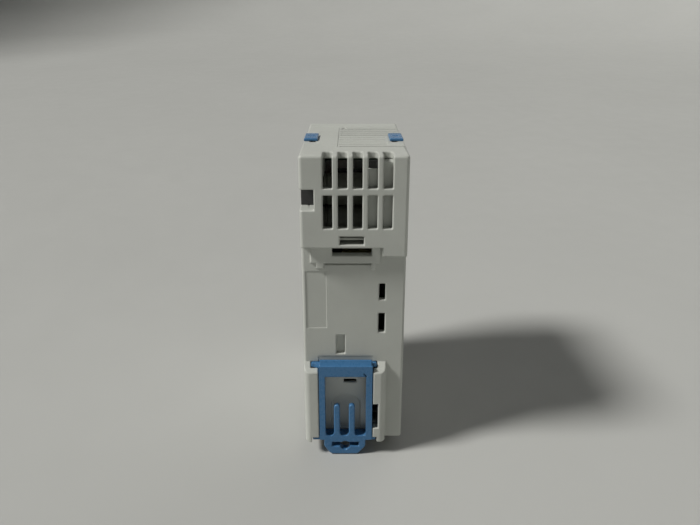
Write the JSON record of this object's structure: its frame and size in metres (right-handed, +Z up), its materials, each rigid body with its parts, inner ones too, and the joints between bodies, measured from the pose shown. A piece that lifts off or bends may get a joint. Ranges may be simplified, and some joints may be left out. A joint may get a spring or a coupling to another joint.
{
  "type": "din rail power supply",
  "caption": "Slim DIN rail power supply module with a vented grey case, a blue sprung rail clip at the foot, two blue top latches and push-in terminals on the front.",
  "frame": {"origin": "centre of the rail seat: on the plane the rail's flanges lie against, at the rail's centreline and the middle of the module's width", "axes": "+X to the right seen from the rail, across the width; +Y from the rail towards the front of the module; +Z up"},
  "size_m": [0.03, 0.06, 0.0951],
  "materials": {
    "housing_plastic": "fine spark-eroded matt, light warm grey",
    "blue_plastic": "smooth satin, medium blue",
    "terminal_plastic": "fine matt, dark grey",
    "spring_steel": "bright rolled strip",
    "tinned_copper": "matt tin over copper",
    "circuit_board": "green solder mask",
    "green_lens": "diffused epoxy",
    "clear_lens": "clear moulded",
    "trimmer_plastic": "smooth",
    "rotor_plastic": "smooth white",
    "fuse_case": "smooth black",
    "blue_epoxy": "dipped, glossy",
    "dark_epoxy": "dipped, glossy",
    "film_capacitor_case": "smooth yellow",
    "ferrite": "sintered, dark grey",
    "copper_wire": "enamelled",
    "moulding_compound": "fine matt black",
    "capacitor_can": "dark shrink sleeve over aluminium",
    "winding_tape": "yellow polyester tape",
    "heatsink_aluminium": "mill finish"
  },
  "bodies": {
    "housing": {"board_pins": "tinned_copper", "bridge_rectifier": "moulding_compound", "bulk_capacitor": "capacitor_can", "choke_core": "ferrite", "choke_winding": "copper_wire", "controller_chip": "moulding_compound", "front_board": "circuit_board", "front_cover": "housing_plastic", "inductor_core": "ferrite", "inductor_winding": "copper_wire", "input_busbars": "tinned_copper", "input_clamp_springs": "spring_steel", "input_terminal_block": "terminal_plastic", "inrush_thermistor": "dark_epoxy", "light_pipe": "clear_lens", "main_board": "circuit_board", "mains_fuse": "fuse_case", "optocoupler": "moulding_compound", "output_busbars": "tinned_copper", "output_capacitors": "capacitor_can", "output_clamp_springs": "spring_steel", "output_rectifier": "moulding_compound", "output_terminal_block": "terminal_plastic", "primary_heatsink": "heatsink_aluminium", "rear_housing": "housing_plastic", "secondary_heatsink": "heatsink_aluminium", "status_led": "green_lens", "switching_transistor": "moulding_compound", "transformer_bobbin": "moulding_compound", "transformer_core": "ferrite", "transformer_winding": "winding_tape", "trimmer_body": "trimmer_plastic", "varistor": "blue_epoxy", "vent_baffle": "housing_plastic", "x_capacitor": "film_capacitor_case", "y_capacitor": "blue_epoxy"},
    "rail_clip": {"rail_clip": "blue_plastic"},
    "top_latch_left": {"top_latch_left": "blue_plastic"},
    "top_latch_right": {"top_latch_right": "blue_plastic"},
    "trimmer_rotor": {"trimmer_rotor": "rotor_plastic"},
    "input_release_1": {"input_release_1": "blue_plastic"},
    "input_release_2": {"input_release_2": "blue_plastic"},
    "input_release_3": {"input_release_3": "blue_plastic"},
    "output_release_1": {"output_release_1": "blue_plastic"},
    "output_release_2": {"output_release_2": "blue_plastic"},
    "output_release_3": {"output_release_3": "blue_plastic"},
    "output_release_4": {"output_release_4": "blue_plastic"}
  },
  "joints": [
    {"name": "rail_clip_slide", "type": "slide", "parent": "housing", "child": "rail_clip", "axis": [0, 0, -1], "range_m": [0, 0.004], "stiffness_N_per_m": 800, "springref_m": -0.004},
    {"name": "top_latch_left_slide", "type": "slide", "parent": "housing", "child": "top_latch_left", "axis": [0, -1, 0], "range_m": [0, 0.004]},
    {"name": "top_latch_right_slide", "type": "slide", "parent": "housing", "child": "top_latch_right", "axis": [0, -1, 0], "range_m": [0, 0.004]},
    {"name": "trimmer_turn", "type": "hinge", "parent": "housing", "child": "trimmer_rotor", "pos_m": [-0.008, 0.05, -0.004], "axis": [0, 1, 0], "range_deg": [-130, 130]},
    {"name": "input_release_1_press", "type": "slide", "parent": "housing", "child": "input_release_1", "axis": [0, -1, 0], "range_m": [0, 0.0016], "stiffness_N_per_m": 600, "springref_m": -0.001, "deforming": ["input_clamp_springs"]},
    {"name": "input_release_2_press", "type": "slide", "parent": "housing", "child": "input_release_2", "axis": [0, -1, 0], "range_m": [0, 0.0016], "stiffness_N_per_m": 600, "springref_m": -0.001, "deforming": ["input_clamp_springs"]},
    {"name": "input_release_3_press", "type": "slide", "parent": "housing", "child": "input_release_3", "axis": [0, -1, 0], "range_m": [0, 0.0016], "stiffness_N_per_m": 600, "springref_m": -0.001, "deforming": ["input_clamp_springs"]},
    {"name": "output_release_1_press", "type": "slide", "parent": "housing", "child": "output_release_1", "axis": [0, -1, 0], "range_m": [0, 0.0016], "stiffness_N_per_m": 600, "springref_m": -0.001, "deforming": ["output_clamp_springs"]},
    {"name": "output_release_2_press", "type": "slide", "parent": "housing", "child": "output_release_2", "axis": [0, -1, 0], "range_m": [0, 0.0016], "stiffness_N_per_m": 600, "springref_m": -0.001, "deforming": ["output_clamp_springs"]},
    {"name": "output_release_3_press", "type": "slide", "parent": "housing", "child": "output_release_3", "axis": [0, -1, 0], "range_m": [0, 0.0016], "stiffness_N_per_m": 600, "springref_m": -0.001, "deforming": ["output_clamp_springs"]},
    {"name": "output_release_4_press", "type": "slide", "parent": "housing", "child": "output_release_4", "axis": [0, -1, 0], "range_m": [0, 0.0016], "stiffness_N_per_m": 600, "springref_m": -0.001, "deforming": ["output_clamp_springs"]}
  ]
}
